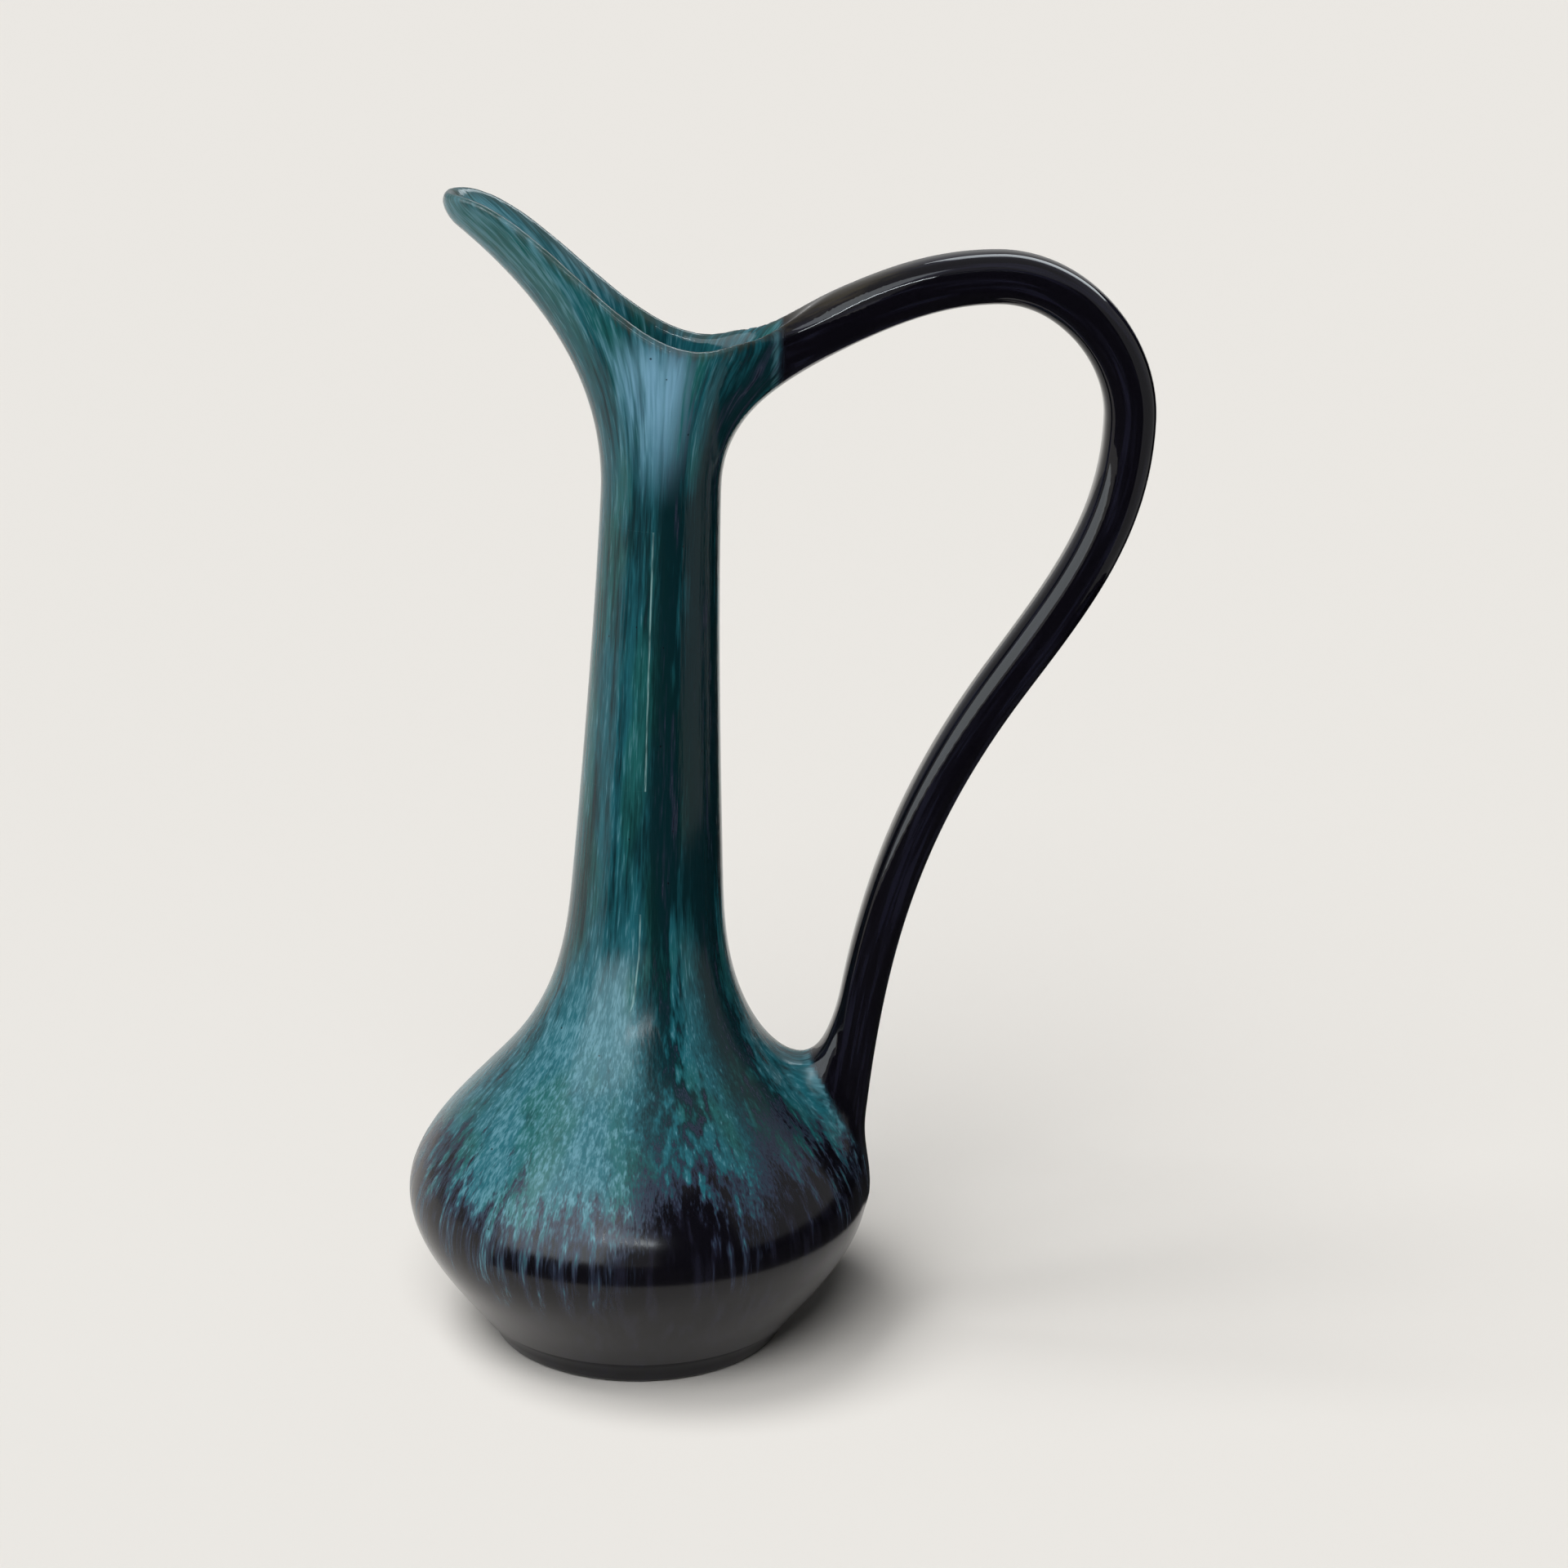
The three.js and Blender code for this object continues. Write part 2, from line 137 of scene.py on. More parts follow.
def smoothstep(x, low, high):
    """0 up to low, 1 from high on and smooth between."""
    t = np.clip((x - low) / (high - low), 0, 1)
    return t * t * (3 - 2 * t)


def smooth_min(a, b, reach):
    """The lesser of two distances, with a fillet where they differ by less than reach."""
    h = np.maximum(reach - np.abs(a - b), 0) / reach
    return np.minimum(a, b) - h * h * reach / 4


def smooth_max(a, b, reach):
    return -smooth_min(-a, -b, reach)


# Profiles as tables by height

HEIGHTS = np.arange(-40, 420, 0.25)


def profile(stations):
    """Values and slopes at HEIGHTS of the cubics through stations of (height, value, slope)."""
    (z0, a0, s0), (z1, a1, s1) = stations[0], stations[-1]
    values = np.where(HEIGHTS < z0, a0 + s0 * (HEIGHTS - z0), a1 + s1 * (HEIGHTS - z1))
    for (za, a, da), (zb, b, db) in zip(stations, stations[1:]):
        span = zb - za
        t = (HEIGHTS - za) / span
        s = 1 - t
        leaving = s * s * ((1 + 2 * t) * a + t * span * da)
        arriving = t * t * ((3 - 2 * t) * b - s * span * db)
        values = np.where((t >= 0) & (t <= 1), leaving + arriving, values)
    return values, np.gradient(values, HEIGHTS)


BODY = [
    (bowl_z, bowl_r, BOWL_SLOPE),
    (belly_z, belly_r, 0.0),
    (shoulder_z, SHOULDER_R, SHOULDER_SLOPE),
    (shoulder_z + NECK_BASE_RISE, NECK_BASE_R, NECK_BASE_SLOPE),
    (throat_z, throat_r, THROAT_SLOPE),
]
BEAK = profile(BODY + [(throat_z + LIP_RISE, BEAK_REACH, BEAK_SLOPE)])
BACK = profile(BODY + [(throat_z + LIP_RISE, BACK_REACH, BACK_SLOPE)])
SIDE = profile(BODY + [(throat_z + LIP_RISE, SIDE_REACH, SIDE_SLOPE)])

bend = np.clip(HEIGHTS - belly_z, 0, SHOULDER_RISE)
axis_x = NECK_LEAN * (bend ** 2 / (2 * SHOULDER_RISE) + np.maximum(0, HEIGHTS - shoulder_z))
AXIS = axis_x, np.gradient(axis_x, HEIGHTS)


def at(table, z):
    """A table's values and slopes at heights."""
    return np.interp(z, HEIGHTS, table[0]), np.interp(z, HEIGHTS, table[1])


throat_x = float(at(AXIS, throat_z)[0])


def body_distance(p):
    """Distance outside the body's wall, and the cosine of the angle round it, 1 towards the handle."""
    x, y, z = p.T
    centre, lean = at(AXIS, z)
    dx = x - centre
    front, back = at(BEAK, z), at(BACK, z)
    a = np.where(dx < 0, front[0], back[0])
    a_slope = np.where(dx < 0, front[1], back[1])
    b, b_slope = at(SIDE, z)
    e = np.maximum(np.hypot(dx / a, y / b), 1e-3)
    gx = dx / (a * a * e)
    gy = y / (b * b * e)
    gz = -(dx * dx * a_slope / a ** 3 + y * y * b_slope / b ** 3) / e - gx * lean
    return (e - 1) / np.sqrt(gx * gx + gy * gy + gz * gz), dx / (a * e)


def wall_thickness(z):
    """Thickness of the wall: the bulb's, then the neck's, then the lip's."""
    body = BOWL_WALL + (NECK_WALL - BOWL_WALL) * smoothstep(z, belly_z, throat_z)
    return body + (LIP_WALL - NECK_WALL) * smoothstep(z, throat_z, throat_z + SADDLE_RISE)


def rim_height(x):
    """Height of the rim: lowest at the saddle, up to the beak's crest and up the handle."""
    from_saddle = x - throat_x - SADDLE_SETBACK
    run = SADDLE_SETBACK + CREST_REACH
    climb = CLIMB_SLOPE * (np.hypot(from_saddle, CLIMB_EASE) - CLIMB_EASE)
    fall = np.maximum(0, -from_saddle - run) ** 2 / (2 * BEAK_ROUND)
    beak = (CREST_RISE - SADDLE_RISE) * smoothstep(-from_saddle, 0, run) - fall
    return throat_z + SADDLE_RISE + np.where(from_saddle > 0, climb, beak)


def above_rim(x, z):
    """Distance above the rim, negative below it."""
    probe = 0.05
    slope = (rim_height(x + probe) - rim_height(x - probe)) / (2 * probe)
    return (z - rim_height(x)) / np.hypot(1, slope)


# Spine of the handle, in the plane y = 0

def direction(angle):
    return np.array([math.cos(math.radians(angle)), math.sin(math.radians(angle))])


def handle_spine():
    """Even points along the handle, their tangents, their places along it from its start, and its length."""
    landing_z = belly_z + LANDING_RISE
    landing_x = float(at(AXIS, landing_z)[0] + at(SIDE, landing_z)[0]) + LANDING_PROUD
    stations = [(np.array([throat_x + x, throat_z + z]), direction(angle)) for x, z, angle in
                (START, ARCH, ELBOW, RUN)]
    stations.append((np.array([landing_x, landing_z]), direction(LANDING_ANGLE)))
    t = np.linspace(0, 1, 400)[:, None]
    points = [stations[0][0] - stations[0][1] * SPINE_TAILS[0]]
    for (p, along), (q, arriving) in zip(stations, stations[1:]):
        pull = SPINE_EASE * np.linalg.norm(q - p)
        leave, arrive = p + along * pull, q - arriving * pull
        span = (1 - t) ** 3 * p + 3 * t * (1 - t) ** 2 * leave + 3 * t * t * (1 - t) * arrive + t ** 3 * q
        points.extend(span[:-1])
    points.extend([stations[-1][0], stations[-1][0] + stations[-1][1] * SPINE_TAILS[1]])
    points = np.array(points)
    along = np.concatenate([[0], np.cumsum(np.linalg.norm(np.diff(points, axis=0), axis=1))])
    even = np.arange(0, along[-1], SPINE_STEP)
    line = np.stack([np.interp(even, along, points[:, i]) for i in range(2)], axis=1)
    tangent = np.gradient(line, axis=0)
    tangent /= np.linalg.norm(tangent, axis=1)[:, None]
    return line, tangent, even - SPINE_TAILS[0], along[-1] - sum(SPINE_TAILS)


SPINE, SPINE_T, SPINE_AT, spine_length = handle_spine()
SPINE_SKIP = 16  # every so many points are searched first


def near_spine(p):
    """Index of the nearest point of the spine."""
    flat = p[:, [0, 2]]
    coarse = SPINE[::SPINE_SKIP]
    first = np.argmin(((flat[:, None, :] - coarse) ** 2).sum(2), axis=1) * SPINE_SKIP
    window = np.clip(first[:, None] + np.arange(-SPINE_SKIP, SPINE_SKIP + 1), 0, len(SPINE) - 1)
    best = np.argmin(((flat[:, None, :] - SPINE[window]) ** 2).sum(2), axis=1)
    return window[np.arange(len(p)), best]


def handle_distance(p):
    """Distance outside the handle, and the reach of the fillet that melts it on."""
    i = near_spine(p)
    off = p[:, [0, 2]] - SPINE[i]
    n = off[:, 1] * SPINE_T[i, 0] - off[:, 0] * SPINE_T[i, 1]
    past = (off * SPINE_T[i]).sum(1)
    share = np.clip(SPINE_AT[i] / spine_length, 0, 1)
    thick = np.interp(share, HANDLE_SHARES, HANDLE_T) / 2
    wide = np.interp(share, HANDLE_SHARES, HANDLE_W) / 2
    u, v = np.abs(n / thick), np.abs(p[:, 1] / wide)
    square = HANDLE_SQUARE[0] + (HANDLE_SQUARE[1] - HANDLE_SQUARE[0]) * smoothstep(share, *SQUARE_SHARES)
    e = np.maximum((u ** square + v ** square) ** (1 / square), 1e-3)
    steep = np.hypot((u / e) ** (square - 1) / thick, (v / e) ** (square - 1) / wide)
    tube = (e - 1) / steep
    ends = (i == 0) | (i == len(SPINE) - 1)
    tube = np.where(ends, np.maximum(tube, np.abs(past)), tube)
    lower = smoothstep(share, *FILLET_SHARES)
    inner, side, outer = (a + (b - a) * lower for a, b in (INNER_FILLETS, SIDE_FILLETS, OUTER_FILLETS))
    side = side * smoothstep(SPINE_AT[i], 2 - SPINE_TAILS[0], 0)
    # The deep fillet is under the handle only, fading out at its sides
    under = (inner - side) * smoothstep(-n / thick, 0, 1.2) * smoothstep(-v, -1.8, -0.8)
    return tube, side + under + (outer - side) * smoothstep(n / thick, 0, 1)


def clay(p):
    """Signed distance to the clay's surface, in millimetres, for an array of points."""
    x, y, z = p.T
    out, towards_back = body_distance(p)
    above = above_rim(x, z)
    past_nose = np.where(z > throat_z, throat_x - NOSE_REACH - x + y ** 2 / (2 * NOSE_CURVE), -FAR)
    nose = smooth_max(out, past_nose, NOSE_ROUND)
    solid = smooth_max(nose, above, RIM_ROUND)
    near = (x > throat_x) & (np.abs(y) < FAR / 2) & (z > belly_z - LANDING_RISE)
    tube = np.full(len(p), FAR)
    reach = np.ones(len(p))
    if near.any():
        tube[near], reach[near] = handle_distance(p[near])
    reach = np.maximum(reach * smoothstep(towards_back, *FILLET_TURN), LEAST_FILLET)
    solid = smooth_min(solid, tube, reach)
    groove = smoothstep(towards_back, *GROOVE_TURN) * smoothstep(z, throat_z, throat_z + SADDLE_RISE)
    wall = wall_thickness(z) * (1 - BACK_THIN * groove)
    hollow = smooth_max(nose + wall, bowl_z + FLOOR - z, FLOOR_ROUND)
    return smooth_max(solid, -hollow, GROOVE_ROUND)


def in_chunks(function, p, size=200000):
    return np.concatenate([function(p[i:i + size]) for i in range(0, len(p), size)])


def gradient(p, value):
    steps = np.eye(3) * SLOPE_PROBE
    return np.stack([(in_chunks(clay, p + step) - value) / SLOPE_PROBE for step in steps], axis=1)


def surface_net(low, high, cell):
    """Mesh round the clay: a point in each grid cell that it crosses, a quad on each crossed edge."""
    axes = [np.arange(a, b + cell, cell) for a, b in zip(low, high)]
    shape = [len(a) for a in axes]
    inside = np.zeros(shape, bool)
    for k, z in enumerate(axes[2]):
        rows = np.abs(axes[1]) < at(SIDE, z)[0] + 2 * cell
        x, y = np.meshgrid(axes[0], axes[1][rows], indexing="ij")
        level = np.stack([x.ravel(), y.ravel(), np.full(x.size, z)], axis=1)
        inside[:, rows, k] = (clay(level) < 0).reshape(x.shape)
    corners = sum(
        inside[i:shape[0] - 1 + i, j:shape[1] - 1 + j, k:shape[2] - 1 + k].astype(np.int8)
        for i in (0, 1) for j in (0, 1) for k in (0, 1)
    )
    mixed = (corners > 0) & (corners < 8)
    number = np.full(mixed.shape, -1)
    number[mixed] = np.arange(mixed.sum())
    points = np.array([a[0] for a in axes]) + (np.argwhere(mixed) + 0.5) * cell
    quads = []
    for axis in range(3):
        one, two = (axis + 1) % 3, (axis + 2) % 3
        step = np.eye(3, dtype=int)
        low_end = np.moveaxis(inside, axis, 0)[:-1]
        high_end = np.moveaxis(inside, axis, 0)[1:]
        crossed = np.moveaxis(low_end != high_end, 0, axis)
        edge = np.argwhere(crossed)
        edge = edge[(edge[:, one] > 0) & (edge[:, two] > 0)
                    & (edge[:, one] < mixed.shape[one]) & (edge[:, two] < mixed.shape[two])]
        leaving = inside[tuple(edge.T)]
        ring = [edge - step[one] - step[two], edge - step[two], edge, edge - step[one]]
        quad = np.stack([number[tuple(r.T)] for r in ring], axis=1)
        quad[~leaving] = quad[~leaving][:, ::-1]
        quads.append(quad)
    return points, np.concatenate(quads)


def settle(points, quads):
    """Points drawn on to the surface and evened out along it."""
    here, there = np.concatenate([quads[:, [i, (i + 1) % 4]] for i in range(4)]).T
    degree = np.bincount(here, minlength=len(points))
    for turn in range(SETTLE_TURNS):
        if turn:
            totals = [np.bincount(here, points[there, i], len(points)) for i in range(3)]
            middles = np.stack(totals, axis=1) / degree[:, None]
            points = points + SETTLE_EASE * (middles - points)
        for _ in range(2 if turn in (0, SETTLE_TURNS - 1) else 1):
            value = in_chunks(clay, points)
            slope = gradient(points, value)
            size = np.maximum((slope ** 2).sum(1), 0.1)
            points = points - np.clip(value / size, -1, 1)[:, None] * slope
    return points


# Pieces

ROOT_TOP, MOUTH_BOTTOM = 110.0, 250.0  # the handle's roots lie below the one and above the other
HANDLE_CLEAR, DARK_CLEAR = 2.0, 3.0  # how far off the body the handle's piece and its dark glaze begin
SKIN = 1.0  # points up to this deep in the body still count as its outside
CUT_REACH = 3.0  # faces this near a cut's plane are cut
JOIN_REACH = 20.0  # and at the handle's joins, this near the spine
CAP_SLACK = 0.001  # edges this near a cut's plane are shut by its cap
TURNED_SIDES, TURNED_CREASE = 240, math.radians(40)
CLAY_PIECES = [
    "lower_bowl", "shoulder", "neck", "pouring_lip", "handle", "upper_handle_join", "lower_handle_join",
]


def teal_side(p, out):
    """Distance from where the teal glaze stops on the handle, positive on the teal side."""
    line = np.subtract(TEAL_END_HIGH, TEAL_END_LOW)
    across = np.array([line[1], -line[0]]) / np.hypot(*line)
    lower = -((p[:, [0, 2]] - TEAL_END_LOW) @ across)
    upper = TEAL_END_X - p[:, 0]
    middle = np.where(out > DARK_CLEAR, -FAR, FAR)
    z = p[:, 2]
    return np.where(z < ROOT_TOP, lower, np.where(z < MOUTH_BOTTOM, middle, upper))


def on_handle(p):
    """Whether each point belongs to the handle between its joins."""
    along = SPINE_AT[near_spine(p)]
    between = (along > UPPER_WAD) & (along < spine_length - LOWER_WAD)
    return between & (body_distance(p)[0] > HANDLE_CLEAR)


def piece_of(p):
    """Number in CLAY_PIECES of the piece that each point of the surface belongs to."""
    z = p[:, 2]
    out = body_distance(p)[0]
    number = np.select([z < belly_z, z < neck_seam_z, z < throat_z], [0, 1, 2], 3)
    dark = (teal_side(p, out) < 0) & (p[:, 0] > throat_x)
    number[dark & (z > MOUTH_BOTTOM)] = CLAY_PIECES.index("upper_handle_join")
    number[dark & (z < ROOT_TOP) & (out > -SKIN)] = CLAY_PIECES.index("lower_handle_join")
    number[on_handle(p)] = CLAY_PIECES.index("handle")
    return number


def spine_cut(along):
    """Cut across the handle, at a distance along its spine."""
    i = np.argmin(np.abs(SPINE_AT - along))
    place = np.array([SPINE[i, 0], 0, SPINE[i, 1]])
    normal = np.array([SPINE_T[i, 0], 0, SPINE_T[i, 1]])
    return place, normal, lambda p: np.linalg.norm(p - place, axis=1) < JOIN_REACH


def level_cut(z):
    """Level cut round the body that leaves the handle whole."""
    def chosen(p):
        near = np.abs(p[:, 2] - z) < CUT_REACH
        near[near] = ~on_handle(p[near])
        return near

    return np.array([0, 0, z]), np.array([0, 0, 1.0]), chosen


def cuts():
    """Place, normal and choice of faces of each cut. The last two are where the teal glaze stops."""
    line = np.subtract(TEAL_END_HIGH, TEAL_END_LOW)
    across = np.array([line[1], 0, -line[0]]) / np.hypot(*line)
    root = np.array([TEAL_END_LOW[0], 0, TEAL_END_LOW[1]])

    def at_root(p):
        near = np.abs((p - root) @ across) < CUT_REACH
        return near & (p[:, 2] < ROOT_TOP) & (p[:, 0] > throat_x) & (body_distance(p)[0] > -SKIN)

    def at_mouth(p):
        return (np.abs(p[:, 0] - TEAL_END_X) < CUT_REACH) & (p[:, 2] > MOUTH_BOTTOM)

    return [
        *[level_cut(z) for z in (bowl_z, belly_z, neck_seam_z, throat_z)],
        spine_cut(UPPER_WAD),
        spine_cut(spine_length - LOWER_WAD),
        (root, across, at_root),
        (np.array([TEAL_END_X, 0, 0]), np.array([1.0, 0, 0]), at_mouth),
    ]


CUTS = cuts()


def cut_clay(points, quads):
    """The surface's mesh with an edge along every cut, without what lies under the bowl."""
    bm = bmesh.new()
    mesh = bpy.data.meshes.new("clay")
    mesh.from_pydata(points.tolist(), [], quads.tolist())
    bm.from_mesh(mesh)
    bpy.data.meshes.remove(mesh)
    for place, normal, chosen in CUTS:
        centres = np.array([f.calc_center_median() for f in bm.faces])
        picked = [f for f, here in zip(bm.faces, chosen(centres)) if here]
        edges = {e for f in picked for e in f.edges}
        verts = {v for f in picked for v in f.verts}
        bmesh.ops.bisect_plane(
            bm, geom=[*picked, *edges, *verts], dist=1e-5, plane_co=Vector(place), plane_no=Vector(normal)
        )
    under = [f for f in bm.faces if f.calc_center_median().z < bowl_z]
    bmesh.ops.delete(bm, geom=under, context="FACES")
    return bm


def cap(bm):
    """Shuts each cut with a flat face, and returns how many faces there were before."""
    count = len(bm.faces)
    for place, normal, _ in CUTS:
        place, normal = Vector(place), Vector(normal)
        flat = [
            e for e in bm.edges
            if e.is_boundary and all(abs((v.co - place).dot(normal)) < CAP_SLACK for v in e.verts)
        ]
        if flat:
            bmesh.ops.triangle_fill(bm, use_beauty=True, edges=flat)
    bm.normal_update()
    return count


# What the glaze's nodes read

FLOW_WIDTH = 5.5  # the flow's coordinates across the streaks are this times the root of the body's radius
FLOW_LENGTH = np.cumsum(np.hypot(1, SIDE[1])) * (HEIGHTS[1] - HEIGHTS[0])
# Painted highlight lines, thin and pale, down the neck's front: height and angle round the axis
PAINTED_HIGHLIGHT_LINES = [
    [(163, -92.4), (198, -93.4), (234, -93.9)],
    [(103, -96.1), (105, -94.6), (111.5, -93.4), (118, -92.2), (130, -92.6)],
]


def set_points(mesh, name, values):
    """Keeps a number or a vector for each point of the mesh."""
    kind, field = ("FLOAT_VECTOR", "vector") if values.ndim == 2 else ("FLOAT", "value")
    attribute = mesh.attributes.new(name, kind, "POINT")
    attribute.data.foreach_set(field, values.astype(np.float32).ravel())


def glaze_attributes(mesh, p):
    """Coordinates of the points for the glaze: along its flow, round the axis and from its edges."""
    x, y, z = p.T
    out, cos = body_distance(p)
    around = np.sign(y) * np.sqrt(np.maximum(0, 1 - cos * cos))
    turn = np.degrees(np.arctan2(around, cos))
    width = FLOW_WIDTH * np.sqrt(at(SIDE, z)[0])
    length = np.interp(z, HEIGHTS, FLOW_LENGTH)
    body = np.stack([width * cos, width * around, length], axis=1)
    i = near_spine(p)
    off = p[:, [0, 2]] - SPINE[i]
    n = off[:, 1] * SPINE_T[i, 0] - off[:, 0] * SPINE_T[i, 1]
    handle = np.stack([n + FAR, y, SPINE_AT[i]], axis=1)
    teal = np.clip(teal_side(p, out), -FAR, FAR)
    teal = np.where(x > throat_x, teal, FAR)
    # Sideways distance from the painted highlight lines, kept as the run attribute
    run = np.full(len(p), FAR)
    for line in PAINTED_HIGHLIGHT_LINES:
        heights, turns = np.array(line).T
        here = (z > heights[0]) & (z < heights[-1]) & (out > -SKIN)
        sideways = np.radians(turn - np.interp(z, heights, turns)) * at(SIDE, z)[0]
        run = np.where(here & (np.abs(sideways) < np.abs(run)), sideways, run)
    set_points(mesh, "flow", np.where((teal < -1)[:, None], handle, body))
    set_points(mesh, "teal_side", teal)
    set_points(mesh, "height", z)
    set_points(mesh, "below_rim", np.where(z > throat_z, np.clip(-above_rim(x, z), 0, FAR), FAR))
    set_points(mesh, "turn", turn)
    set_points(mesh, "run", run)


def riding_piece(mesh, material):
    """The mesh as a piece that rides on the one body."""
    mesh.materials.append(material)
    piece = bpy.data.objects.new(mesh.name, mesh)
    bpy.context.scene.collection.objects.link(piece)
    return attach(piece, "root")


def clay_piece(name, bm, material):
    """A piece of the clay, capped, with the exact surface's normals outside its caps."""
    count = cap(bm)
    mesh = bpy.data.meshes.new("glazed_" + name)
    bm.to_mesh(mesh)
    bm.free()
    p = np.array([v.co for v in mesh.vertices])
    glaze_attributes(mesh, p)
    sides = np.eye(3) * NORMAL_PROBE
    normals = np.stack([in_chunks(clay, p + side) - in_chunks(clay, p - side) for side in sides], axis=1)
    normals /= np.maximum(np.linalg.norm(normals, axis=1), 1e-6)[:, None]
    corners = np.empty(len(mesh.loops), np.int32)
    mesh.loops.foreach_get("vertex_index", corners)
    corner_normals = normals[corners]
    for f in mesh.polygons[count:]:
        corner_normals[f.loop_start:f.loop_start + f.loop_total] = f.normal
    mesh.shade_smooth()
    mesh.transform(Matrix.Scale(MM, 4))
    mesh.normals_split_custom_set(corner_normals.tolist())
    return riding_piece(mesh, material)


def clay_pieces(material):
    """The clay cut into the same pieces as the solids, by name."""
    low = np.array(cad_low) / MM - 2 * GRID
    high = np.array(cad_high) / MM + 2 * GRID
    low[2] = bowl_z - 2 * GRID
    points, quads = surface_net(low, high, GRID)
    bm = cut_clay(settle(points, quads), quads)
    centres = np.array([f.calc_center_median() for f in bm.faces])
    number = in_chunks(piece_of, centres)
    verts = np.array([v.co for v in bm.verts])
    faces = [[v.index for v in f.verts] for f in bm.faces]
    bm.free()
    made = {}
    for i, name in enumerate(CLAY_PIECES):
        mine = [faces[k] for k in np.flatnonzero(number == i)]
        used = np.unique(np.concatenate(mine))
        new = np.full(len(verts), -1)
        new[used] = np.arange(len(used))
        mesh = bpy.data.meshes.new(name)
        mesh.from_pydata(verts[used].tolist(), [], [new[f].tolist() for f in mine])
        piece = bmesh.new()
        piece.from_mesh(mesh)
        bpy.data.meshes.remove(mesh)
        made[name] = clay_piece(name, piece, material)
    return made


def turned_piece(name, outline, material):
    """Turned disc from points of (radius, height), shut flat at both ends."""
    n = TURNED_SIDES
    angle = np.arange(n) * 2 * math.pi / n
    circle = np.stack([np.cos(angle), np.sin(angle)], axis=1)
    p = np.concatenate([np.column_stack([r * circle, np.full(n, z)]) for r, z in outline])
    last = (len(outline) - 1) * n
    faces = []
    for ring in range(0, last, n):
        for j in range(n):
            k = (j + 1) % n
            faces.append((ring + j, ring + k, ring + n + k, ring + n + j))
    faces.append(tuple(reversed(range(n))))
    faces.append(tuple(range(last, last + n)))
    mesh = bpy.data.meshes.new("glazed_" + name)
    mesh.from_pydata(p.tolist(), [], faces)
    glaze_attributes(mesh, p)
    mesh.transform(Matrix.Scale(MM, 4))
    mesh.shade_smooth()
    mesh.set_sharp_from_angle(angle=TURNED_CREASE)
    return riding_piece(mesh, material)


# Glaze

def colour(r, g, b):
    """Linear colour from 8-bit sRGB values."""
    linear = [(c / 255 / 12.92) if c < 11 else ((c / 255 + 0.055) / 1.055) ** 2.4 for c in (r, g, b)]
    return (*linear, 1)


class Graph:
    """Short ways to add nodes to a tree. An input is a number, a colour or another node's output."""

    def __init__(self, tree):
        self.tree = tree
        tree.nodes.clear()

    def add(self, kind, inputs, **settings):
        node = self.tree.nodes.new(kind)
        for name, value in settings.items():
            setattr(node, name, value)
        for key, value in inputs.items():
            if isinstance(value, bpy.types.NodeSocket):
                self.tree.links.new(value, node.inputs[key])
            else:
                node.inputs[key].default_value = value
        return node

    def attribute(self, name, output="Fac"):
        return self.add("ShaderNodeAttribute", {}, attribute_name=name).outputs[output]

    def math(self, operation, a, b=0.0):
        return self.add("ShaderNodeMath", {0: a, 1: b}, operation=operation).outputs[0]

    def plus(self, a, b):
        return self.math("ADD", a, b)

    def times(self, a, b):
        return self.math("MULTIPLY", a, b)

    def rise(self, value, low, high, start=0.0, end=1.0):
        """Smooth step from start at low to end at high."""
        inputs = {"Value": value, "From Min": low, "From Max": high, "To Min": start, "To Max": end}
        return self.add("ShaderNodeMapRange", inputs, interpolation_type="SMOOTHSTEP").outputs[0]

    def window(self, value, low, full, end, high):
        """1 between full and end, falling off smoothly to 0 at low and high."""
        return self.times(self.rise(value, low, full), self.rise(value, high, end))

    def total(self, *parts):
        """Sum of noises, each less its mean and times its weight."""
        value = 0.0
        for noise, weight in parts:
            centred = self.math("MULTIPLY_ADD", noise, weight)
            centred.node.inputs[2].default_value = -weight / 2
            value = self.plus(value, centred)
        return value

    def mix(self, factor, a, b):
        """Mix of two colours. The node numbers its colour sockets 6 and 7, and its colour output 2."""
        return self.add("ShaderNodeMix", {0: factor, 6: a, 7: b}, data_type="RGBA").outputs[2]

    def mix_numbers(self, factor, a, b):
        return self.add("ShaderNodeMix", {0: factor, 2: a, 3: b}).outputs[0]

    def streaks(self, flow, width, stretch, detail=2.0, shift=0.0):
        """Noise of streaks that are a width across, in millimetres, and stretch times as long."""
        scale = (1 / width, 1 / width, 1 / (width * stretch))
        scaled = self.add("ShaderNodeVectorMath", {0: flow, 1: scale}, operation="MULTIPLY").outputs[0]
        offset = (shift, 0, shift)
        moved = self.add("ShaderNodeVectorMath", {0: scaled, 1: offset}, operation="ADD").outputs[0]
        inputs = {"Vector": moved, "Scale": 1.0, "Detail": detail, "Roughness": 0.55}
        return self.add("ShaderNodeTexNoise", inputs).outputs["Fac"]


NIGHT = colour(12, 11, 17)
NIGHT_BLUE = colour(26, 26, 38)
PETROL = colour(8, 38, 44)
TEAL = colour(30, 94, 106)
GREEN_DARK = colour(8, 40, 40)
GREEN = colour(30, 92, 82)
PALE = colour(92, 142, 156)
DRIP_BLUE = colour(58, 72, 98)
BLOOM = colour(122, 170, 198)
BROWN = colour(66, 60, 44)
HIGHLIGHT_LINE_PALE = colour(140, 180, 182)

# Windows of angle round the axis, in degrees, -90 being the front, and of height in millimetres
# Broad band of thick teal down the front, partly a painted reflection of the window on the bulb's left
BAND_AND_REFLECTION_TURN = (-172, -140, -96, -72)
